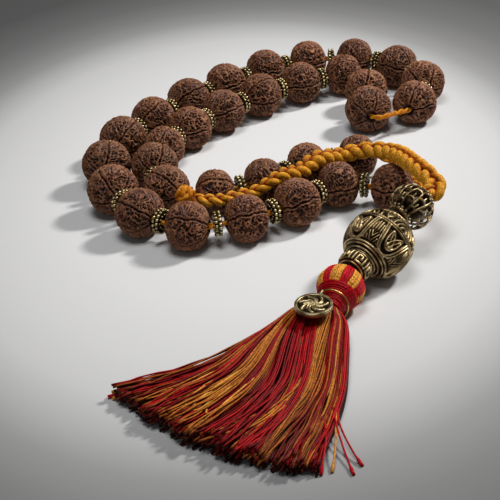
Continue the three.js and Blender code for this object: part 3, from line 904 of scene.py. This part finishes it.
def add_lantern():
    """An openwork globe: swaying ribs from pole to pole, with arches and short stems between
    them, a ball inside painted dark as the shade within, and a beaded collar at each pole."""
    centre, axis = joint_place("lantern")
    builder = Builder()

    def globe(longitude, latitude, swell=0.0):
        return polar((LANTERN_RADIUS + swell) * np.cos(latitude), longitude,
                     (LANTERN_HALF + swell) * np.sin(latitude))

    def wire(points, radius):
        line = place(points, centre, axis)
        outward = unit(line.mean(0) - centre + 1e-6)
        made, faces, _ = tube(line, radius, 10, towards=outward)
        # Painted shade: a wire is darker the nearer it lies to the globe's centre, as shade within
        # the globe.
        away = np.linalg.norm(made - centre, axis=1) - LANTERN_RADIUS
        builder.add(made, faces, np.clip(0.5 + away * 0.75, 0.105, 1), 0.5)

    latitude = np.linspace(-1.13, 1.13, 36)
    arch = np.linspace(-1, 1, 12)
    step = TURN / LANTERN_RIBS
    for index in range(LANTERN_RIBS):
        sway = 0.05 * np.sin(latitude * 2.6 + index * math.pi)
        wire(globe(index * step + sway, latitude), 0.44)
        middle = (index + 0.5) * step
        levels = (-0.72, -0.12, 0.5) if index % 2 else (-0.42, 0.2, 0.8)
        for level in levels:
            bowed = level + 0.13 * (1 - arch ** 2)
            wire(globe(middle + 0.5 * step * arch, bowed, 0.05), 0.4)
            stem = np.linspace(level + 0.13, level + 0.40, 6)
            wire(globe(middle, stem, 0.1), 0.34)
    # A ball inside, painted near black as the shade within the globe.
    core, core_faces = small_ball(5.4, 14, 24)
    builder.add(core + centre, core_faces, 0.02, 0.5)
    ball, ball_faces = small_ball(0.6)
    for end in (-1, 1):
        points, faces = lathe(LANTERN_COLLAR[:, 0], LANTERN_COLLAR[:, 1] * end, 56, True)
        if end < 0:
            faces = faces[:, ::-1]
        relief = np.clip((np.hypot(points[:, 0], points[:, 1]) - 3.0) / 2.2, 0.05, 0.75)
        builder.add(place(points, centre, axis), faces, relief, 0.5)
        for row, (reach, level) in enumerate(((5.0, 6.35), (4.7, 7.35))):
            for index in range(16):
                spot = polar(reach, TURN * (index + row / 2) / 16, level * end)
                builder.add(ball + place(spot, centre, axis), ball_faces, 0.8, 0.5)
    builder.piece("lantern_openwork", CAST_BRASS, "lantern", "cast_brass", ["lantern_bead"])


CORE_STEP = 0.5
CORE_PITCH = 7


def add_core():
    """The doubled cord inside the cast beads, from the lantern to the tassel's head."""
    lantern, lantern_axis = joint_place("lantern")
    guru, guru_axis = joint_place("guru")
    barrel, barrel_axis = joint_place("barrel")
    line = [lantern + lantern_axis * 7.6, lantern, lantern - lantern_axis * 7.6,
            guru + guru_axis * 12, guru, guru - guru_axis * 12, barrel, barrel - barrel_axis * 2.8]
    line = smooth_line(line, CORE_STEP)
    run = np.arange(len(line)) * CORE_STEP
    builder = Builder()
    for ply in range(2):
        centre = ply_line(line, run * TURN / CORE_PITCH + math.pi * ply, 0.6)
        builder.add_cord(centre, 0.75, 12, 0.3, 0.25, lobes=6, lobe_depth=0.15, twist=0.9)
    builder.piece("pendant_cord", RED_THREAD, "strand", "thread_red", ["pendant_core_cord"])


add_relief_bead("guru_ornament", "guru", 12.0, 13.1, 0.86, 1.0, guru_pattern, 210, 430)
add_relief_bead("barrel_fret", "barrel", 3.3, 6.4, 0.42, 0.75, barrel_pattern, 120, 300)
add_lantern()
add_core()

# ---------------- tassel

HEAD_CENTRE = joint_place("tassel")[0]
neck_low, neck_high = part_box("neck_wrap")
NECK_CENTRE = np.array((neck_low + neck_high) / 2) / MM
TASSEL_AXIS = unit(NECK_CENTRE - HEAD_CENTRE)
HEAD_OUTLINE = [(1.1, -7.2), (2.6, -7.0), (4.4, -6.2), (6.3, -4.6), (7.8, -2.5), (8.6, -0.2),
                (8.7, 1.8), (8.1, 3.9), (6.9, 5.6), (5.6, 6.7), (4.9, 7.4)]
# The head's bunches in order round it: whether a bunch is red, and its count of threads.
STRIPE_PATTERN = [(True, 6), (False, 5), (True, 5), (False, 6), (True, 5), (False, 5), (True, 6),
                  (False, 5), (True, 5), (False, 5), (True, 6), (False, 5), (True, 5), (False, 5)]


def add_head():
    """Threads laid side by side over a ball, from crown to foot, in red and gold bunches."""
    outline = smooth_line([(r, 0, z) for r, z in HEAD_OUTLINE], 0.3)
    red, gold = Builder(), Builder()
    # A ball under the threads, painted dark as the shade between them.
    points, faces = lathe(outline[:, 0] - 0.35, outline[:, 2], 64, False)
    red.add(place(points, HEAD_CENTRE, TASSEL_AXIS), faces, 0.15, 0.1)
    total = sum(count for _, count in STRIPE_PATTERN)
    share = np.linspace(0, 1, len(outline))
    index = 0
    for is_red, count in STRIPE_PATTERN:
        for _ in range(count):
            turn = TURN * (index + jitter(0.15)) / total
            index += 1
            swirl = turn + 0.10 * share + 0.02 * np.sin(share * 5 + random.uniform(0, 6))
            radius = outline[:, 0] - 0.2 + jitter(0.14)
            line = place(polar(radius, swirl, outline[:, 2]), HEAD_CENTRE, TASSEL_AXIS)
            width = 0.45 * np.clip(outline[:, 0] / 7.8, 0.2, 1) + 0.06
            outward = unit(line[len(line) // 2] - HEAD_CENTRE)
            made, tube_faces, relief = tube(line, width, 10, lobes=2, lobe_depth=0.24, twist=2.4,
                                            towards=outward)
            # Painted shade: the grooves between a thread's lobes are darker in tone and relief.
            tone = random.uniform(0.5, 1.0) + 0.35 * (relief - 0.5)
            (red if is_red else gold).add(made, tube_faces, 0.45 + 0.55 * relief, held(tone))
    red.piece("head_red_threads", RED_THREAD, "tassel", "thread_red", ["tassel_head"])
    gold.piece("head_gold_threads", GOLD_THREAD, "tassel", "thread_gold")


# The red binding's outline: each distance past the head's centre, and the radius there.
BINDING = [(5.3, 7.5), (6.0, 7.45), (6.9, 7.0), (8.0, 6.3), (9.2, 5.4), (10.4, 4.75), (11.5, 4.45),
           (12.7, 4.3), (13.9, 4.45)]
BINDING_TURNS = 19


def add_neck():
    """Many turns of red thread, drawn tight from the head's foot down over the neck."""
    outline = np.array(BINDING)
    builder = Builder()
    for index in range(BINDING_TURNS):
        along = outline[0, 0] + (outline[-1, 0] - outline[0, 0]) * index / (BINDING_TURNS - 1)
        radius = np.interp(along, outline[:, 0], outline[:, 1]) - 0.3 + jitter(0.08)
        tilt = unit(TASSEL_AXIS + 0.03 * random.normal(size=3))
        line = ring_line(HEAD_CENTRE + TASSEL_AXIS * along, tilt, radius, 120)
        builder.add_cord(line, 0.4, 8, 0.3, random.uniform(0.3, 1.0), closed=True, lobes=2,
                         lobe_depth=0.2, twist=2.0, towards=TASSEL_AXIS)
    # A sleeve under the turns, painted dark as the shade between them.
    points, faces = lathe(outline[:, 1] - 0.6, outline[:, 0], 48, False)
    builder.add(place(points, HEAD_CENTRE, TASSEL_AXIS), faces, 0.25, 0.2)
    builder.piece("neck_binding", RED_THREAD, "tassel", "thread_red", ["neck_wrap"])


# The skirt's two side edges, from the neck to the cut ends, in metres.
LEFT_EDGE_M = [(0.0065, -0.0775), (-0.0014, -0.0812), (-0.0104, -0.0873), (-0.022, -0.0946),
               (-0.0333, -0.1014), (-0.0442, -0.1062), (-0.0551, -0.1102), (-0.0655, -0.1138)]
RIGHT_EDGE_M = [(0.0158, -0.0815), (0.0168, -0.09), (0.0155, -0.103), (0.0108, -0.1275),
                (-0.0013, -0.1612)]
# The mean distance from the neck to the cut ends in the middle of the fan.
SKIRT_REACH = 80.3
SKIRT_LAYERS = 9
SKIRT_LOCKS = 25
THREAD_SIDES = 8
THREAD_RADIUS = 0.33
# How light each side of a thread is: its top is light, and it darkens where it meets the next one.
THREAD_SHADE = 0.12 + 0.88 * held(np.sin(angles(THREAD_SIDES)))
# Share of the way across, from the left edge, up to which a bunch runs, and its share of gold.
BUNCHES = [(0.05, 0.6), (0.09, 0.2), (0.13, 0.6), (0.18, 0.1), (0.24, 0.5), (0.28, 0.1),
           (0.34, 0.6), (0.42, 0.9), (0.44, 0.2), (0.50, 0.7), (0.71, 0.0), (0.73, 0.4),
           (0.75, 0.0), (0.86, 0.97), (0.91, 0.0), (0.96, 0.9), (1.2, 0.05)]


# How far down the fan each point of a thread is, as a share.
DOWN = np.linspace(0, 1, 36)
# Near the neck the threads crowd towards the left edge.
CROWD = 1 + 1.2 * np.exp(-(DOWN / 0.32) ** 2)
NECK = NECK_CENTRE[:2]
SIDEWAYS = unit(np.cross(TASSEL_AXIS, UP))


def edge_line(points_m):
    """A side edge of the fan in even steps, and each step's distance from the neck."""
    line = smooth_line([(x / MM, y / MM, 0) for x, y in points_m], 0.5)[:, :2]
    at = DOWN * (len(line) - 1)
    line = np.stack([np.interp(at, np.arange(len(line)), line[:, k]) for k in range(2)], 1)
    return line, np.linalg.norm(line - NECK, axis=1)


LEFT, LEFT_RUN = edge_line(LEFT_EDGE_M)
RIGHT, RIGHT_RUN = edge_line(RIGHT_EDGE_M)


def wave(depth, low, high):
    """A sine wave down the fan, of low to high radians in all, which starts at any point."""
    return depth * np.sin(DOWN * random.uniform(low, high) + random.uniform(0, 6))


def skirt_thread(level, across, mixed, lift):
    """One thread's line. level is its layer's height and across its place, both 0 to 1. mixed is
    its place at each step down the fan, and lift how far it stands above its layer."""
    flat = LEFT * (1 - mixed[:, None]) + RIGHT * mixed[:, None]
    spread = flat - NECK
    arc = LEFT_RUN * (1 - mixed) + RIGHT_RUN * mixed
    cut = SKIRT_REACH + 4.0 * (1 - across) ** 3 + 1.5 * across ** 4
    cut = cut + random.uniform(-2.0, 0.7) + 0.9 * math.sin(across * 31)
    reach = arc + (cut - arc[-1]) * DOWN ** 3
    flat = NECK + spread / np.linalg.norm(spread, axis=1)[:, None] * reach[:, None]

    lying = 0.4 + level * 6.0 * (1 - 0.45 * abs(2 * across - 1) ** 3)
    shoulder = 4.4 * level * (1 - 0.25 * abs(2 * mixed[4] - 1) ** 3)
    height = lying + shoulder * np.exp(-(DOWN / 0.36) ** 2) + lift
    height = height + wave(0.4, 6, 22) * DOWN + jitter(0.3)

    turn = math.pi * (level - 0.5) * 0.9
    crowded = across ** 2.2
    root_side = (crowded - 0.5) * 8.6 * math.cos(turn)
    root_up = 4.1 * math.sin(turn) * math.sqrt(max(0.05, 1 - 0.85 * (2 * crowded - 1) ** 2))
    root = NECK_CENTRE + TASSEL_AXIS * 2.2 - SIDEWAYS * root_side + UP * root_up
    blend = (held(1 - DOWN / 0.1) ** 2)[:, None]
    line = np.column_stack([flat, np.clip(height, THREAD_RADIUS, 12.0)])
    line = line * (1 - blend) + root * blend
    drop = held((DOWN - 0.9) / 0.1) * random.uniform(-0.6, 0.4)
    line[:, 2] = np.maximum(line[:, 2] + drop, THREAD_RADIUS)
    return line


def add_skirt():
    """Hundreds of loose threads in locks, in layers from the floor up. Each has its own path from
    the neck to the edge of the fan."""
    red, gold, under = Builder(), Builder(), Builder()
    for layer in range(SKIRT_LAYERS):
        level = (layer + 0.5) / SKIRT_LAYERS
        on_top = level > 0.6
        for lock in range(SKIRT_LOCKS):
            lock_across = (lock + random.uniform(0, 1)) / SKIRT_LOCKS
            bunch = next(b for b in BUNCHES if lock_across <= b[0])
            lock_gold = random.uniform() < bunch[1] * (1.0 if on_top else 0.5)
            drift = 0.015 * random.normal() * DOWN ** 1.2 + wave(0.011, 2, 7) * DOWN
            if lock_gold and on_top and 0.5 < lock_across < 0.9 and random.uniform() < 0.5:
                drift = drift - random.uniform(0.08, 0.3) * DOWN ** 1.6
            lift = 0.6 * random.normal() * np.sin(DOWN * random.uniform(2, 6)) * DOWN
            lift = lift + 0.6 * random.normal() * held(DOWN / 0.1)
            for offset in np.linspace(-1, 1, random.integers(3, 5)):
                across = min(max(lock_across + 0.014 * offset, 0.0), 1.0)
                is_gold = lock_gold != (random.uniform() < 0.1)
                stray = wave(0.008, 7, 20) + wave(0.004, 18, 40) + 0.010 * random.normal() * DOWN
                mixed = np.clip(across ** CROWD + drift + stray * DOWN, -0.012, 1.012)
                line = skirt_thread(level, across, mixed, lift)
                width = THREAD_RADIUS + jitter(0.04)
                widths = width * (1 - 0.25 * np.exp(-DOWN / 0.05))
                widths[-2:] = width * 1.3
                points, faces, _ = tube(line, widths, THREAD_SIDES)
                # Painted shade: the lower layers and each lock's edges are darker, as shade under
                # and between the threads, and the lower layers' tone is darker too. Each thread is
                # also darker towards its cut end.
                depth = (0.06 + 0.94 * level ** 1.5) * (1 - 0.3 * abs(offset))
                fade = 1 - 0.5 * held((DOWN - 0.93) / 0.07)
                fade = np.append((fade[:, None] * THREAD_SHADE).ravel(), [0.5, 0.6])
                tone = random.uniform(0.35 if is_gold else 0.15, 1.0) * (0.5 + 0.5 * level)
                builder = gold if is_gold else under if layer < SKIRT_LAYERS // 2 else red
                builder.add(points, faces, depth * fade, tone)
    add_loops(gold)
    add_strays(red, gold)
    red.piece("skirt_red_threads", RED_THREAD, "tassel", "thread_red", ["tassel_skirt"])
    under.piece("skirt_red_threads_below", RED_THREAD, "tassel", "thread_red")
    gold.piece("skirt_gold_threads", GOLD_THREAD, "tassel", "thread_gold")


# Gold threads that double back on top of the fan: the turn's place in metres, and the share of the
# way across the fan at which each of the two legs starts.
LOOPS = [((-0.0435, -0.1235, 0.0058), 0.24, 0.31), ((-0.040, -0.1275, 0.006), 0.30, 0.345),
         ((-0.0375, -0.131, 0.0062), 0.29, 0.37), ((-0.033, -0.1335, 0.0064), 0.36, 0.40)]


LOOP_START = 12
LOOP_START_HEIGHT = 4.4


def add_loops(gold):
    for place_m, *shares in LOOPS:
        turn = np.array(place_m) / MM
        legs = [np.array([*(LEFT[LOOP_START] * (1 - share) + RIGHT[LOOP_START] * share),
                          LOOP_START_HEIGHT]) for share in shares]
        along = unit(turn - (legs[0] + legs[1]) / 2)
        across = np.cross(UP, along)
        if across @ (legs[1] - legs[0]) < 0:
            across = -across
        stops = [legs[0], turn - along * 9 - across * 1.9 + UP * 0.8,
                 turn - across * 1.2 - along * 1.2, turn, turn + across * 1.2 - along * 1.2,
                 turn - along * 9 + across * 1.9 + UP * 0.8, legs[1]]
        gold.add(*tube(smooth_line(stops, 0.9), 0.3, 7)[:2], 1.0, 0.8)


# Loose threads that stand away from the fan, at its right edge and its left tip: whether each is
# gold, and its path in metres.
STRAYS_M = [
    (False, [(0.0075, -0.132, 0.004), (0.0078, -0.1434, 0.004), (0.0091, -0.1516, 0.002),
             (0.0108, -0.1604, 0.0004)]),
    (False, [(0.0092, -0.129, 0.004), (0.0087, -0.1405, 0.004), (0.0114, -0.151, 0.002),
             (0.0139, -0.1567, 0.0004)]),
    (True, [(0.0095, -0.127, 0.004), (0.0078, -0.1385, 0.004), (0.0061, -0.1515, 0.003),
            (0.0044, -0.1586, 0.0004)]),
    (False, [(0.0042, -0.138, 0.004), (0.0037, -0.1477, 0.004), (0.002, -0.1557, 0.003),
             (0.0009, -0.1595, 0.0004)]),
    (True, [(-0.042, -0.1085, 0.0035), (-0.0545, -0.1108, 0.003), (-0.0655, -0.1125, 0.0016)]),
    (False, [(-0.043, -0.1095, 0.003), (-0.056, -0.1122, 0.0022), (-0.0668, -0.1138, 0.0008)]),
    (True, [(-0.044, -0.111, 0.003), (-0.056, -0.1135, 0.0022), (-0.0652, -0.1148, 0.0008)]),
]


def add_strays(red, gold):
    for is_gold, points_m in STRAYS_M:
        line = smooth_line(np.array(points_m) / MM, 1.2)
        line[:, 2] = np.maximum(line[:, 2], 0.36)
        widths = np.full(len(line), 0.36)
        widths[-3:] = 0.62
        made = tube(line, widths, 8, twist=1.3, lobes=2, lobe_depth=0.12)[:2]
        (gold if is_gold else red).add(*made, 0.9, 0.6)


add_head()
add_neck()
add_skirt()

# ---------------- jump ring and charm


def add_jump_ring():
    centre, axis = joint_place("neck_ring")
    line = ring_line(centre, axis, 5.9, 96)
    builder = Builder()
    builder.add(*tube(line, 0.38, 14, closed=True, towards=axis)[:2], 0.85, 0.5)
    builder.piece("polished_jump_ring", RING_BRASS, "neck_ring", "ring_brass", ["neck_jump_ring"])


CHARM_RADIUS = 6.85
CHARM_ARM = 8.05


def charm_height(x, y):
    """A generic pinwheel: seven curled leaves round a boss."""
    height = ridge(np.hypot(x, y), 0.8)
    for turn in angles(7):
        for start, sweep, reach, weight in ((0.0, 0.95, 5.0, 0.62), (0.38, 0.8, 3.4, 0.42)):
            run = np.linspace(0.26, 1, 12)
            angle = turn + start + sweep * run ** 1.4
            leaf = [(reach * r * math.cos(a), reach * r * math.sin(a)) for r, a in zip(run, angle)]
            height = np.maximum(height, stroke(x, y, leaf, weight))
    return height


def add_charm():
    """A rimmed disc, with the same relief on its back, and the small ring that it hangs from."""
    bail, hinge = joint_place("charm")
    outward = np.cross(hinge, UP)
    if outward @ (NECK_CENTRE - HEAD_CENTRE) < 0:
        outward = -outward
    centre = bail + outward * CHARM_ARM + UP * 0.6
    columns, rows = 220, 60
    radii = np.linspace(0.02, CHARM_RADIUS - 0.05, rows)
    grid_r, grid_a = np.meshgrid(radii, angles(columns), indexing="ij")
    x, y = grid_r * np.cos(grid_a), grid_r * np.sin(grid_a)
    rim = held((grid_r - 5.6) / 0.25) * ridge(grid_r - 6.25, 0.95) ** 0.5
    raised = charm_height(x, y) * held((5.55 - grid_r) / 0.2)
    top = 0.28 + 0.62 * raised + 0.55 * rim
    height = np.concatenate([-top, top[::-1]])
    radius = np.concatenate([grid_r, grid_r[::-1]])
    shade = held(0.1 + 0.9 * np.maximum(raised, rim))
    shade = np.concatenate([shade, shade[::-1]])
    points, faces = lathe(radius, height, columns, False)
    points[-2:, 2] = (-0.6, 0.6)
    shade = np.append(shade.ravel(), [0.8, 0.8])
    turned = np.stack([np.cross(UP, outward), outward, UP], 1)
    if np.linalg.det(turned) < 0:
        turned[:, 0] *= -1
    builder = Builder()
    builder.add(points @ turned.T + centre, faces, shade, 0.5)
    line = ring_line(bail, hinge, 1.5, 40)
    builder.add(*tube(line, 0.42, 12, closed=True, towards=hinge)[:2], 0.8, 0.5)
    builder.piece("disc_charm_relief", CHARM_BRASS, "charm", "charm_brass", ["disc_charm"])


add_jump_ring()
add_charm()

# ---------------- studio


def add_floor():
    """A sheet of pale paper with a pool of light painted on it: its grey falls off round the
    object.
    """
    mesh = bpy.data.meshes.new("floor")
    size = 2.5
    mesh.from_pydata([(-size, -size, 0), (size, -size, 0), (size, size, 0), (-size, size, 0)], [],
                     [(0, 1, 2, 3)])
    floor = add_object("floor", mesh)
    s = Surface("pale_paper_painted_light", Roughness=0.75, Specular_IOR_Level=0.25)
    where = s.nodes.new("ShaderNodeTexCoord")
    spread = s.new("ShaderNodeMapping", Scale=(4.2, 3.05, 0), Location=(0.084, -0.143, 0))
    s.links.new(where.outputs["Object"], spread.inputs["Vector"])
    # Painted light: the paper's grey is brightest round the object and falls off away from it.
    painted_light_falloff = s.nodes.new("ShaderNodeTexGradient")
    painted_light_falloff.gradient_type = "SPHERICAL"
    s.links.new(spread.outputs["Vector"], painted_light_falloff.inputs["Vector"])
    steps = ((0.09, 0.09), (0.23, 0.14), (0.31, 0.2), (0.37, 0.28), (0.42, 0.41), (0.48, 0.54),
             (0.55, 0.6), (0.67, 0.66), (1.0, 0.70))
    s.set("Base Color", s.ramp(painted_light_falloff.outputs["Fac"], *((at, grey(level)) for at, level in steps)))
    mesh.materials.append(s.material)


def add_light(name, place_m, aim_m, size_m, watts, colour=(1, 1, 1)):
    data = bpy.data.lights.new(name, "AREA")
    data.size, data.energy, data.color = size_m, watts, colour
    light = add_object(name, data)
    light.location = place_m
    light.rotation_euler = (Vector(aim_m) - Vector(place_m)).to_track_quat("-Z", "Y").to_euler()


def add_lights():
    add_light("right", (0.6, 0.27, 0.685), (0, 0, 0), 0.12, 7.8, (1.0, 0.985, 0.96))
    add_light("above", (-0.05, -0.1, 0.94), (0, 0, 0), 0.38, 4.5)
    add_light("front", (-0.3, -0.85, 0.45), (0, 0, 0), 0.6, 0.5)
    world = bpy.data.worlds.new("studio")
    world.use_nodes = True
    sky = world.node_tree.nodes["Background"].inputs
    sky["Color"].default_value, sky["Strength"].default_value = (0.9, 0.93, 1.0, 1), 0.05
    bpy.context.scene.world = world
    bpy.context.scene.view_settings.view_transform = "Standard"


add_floor()
add_lights()
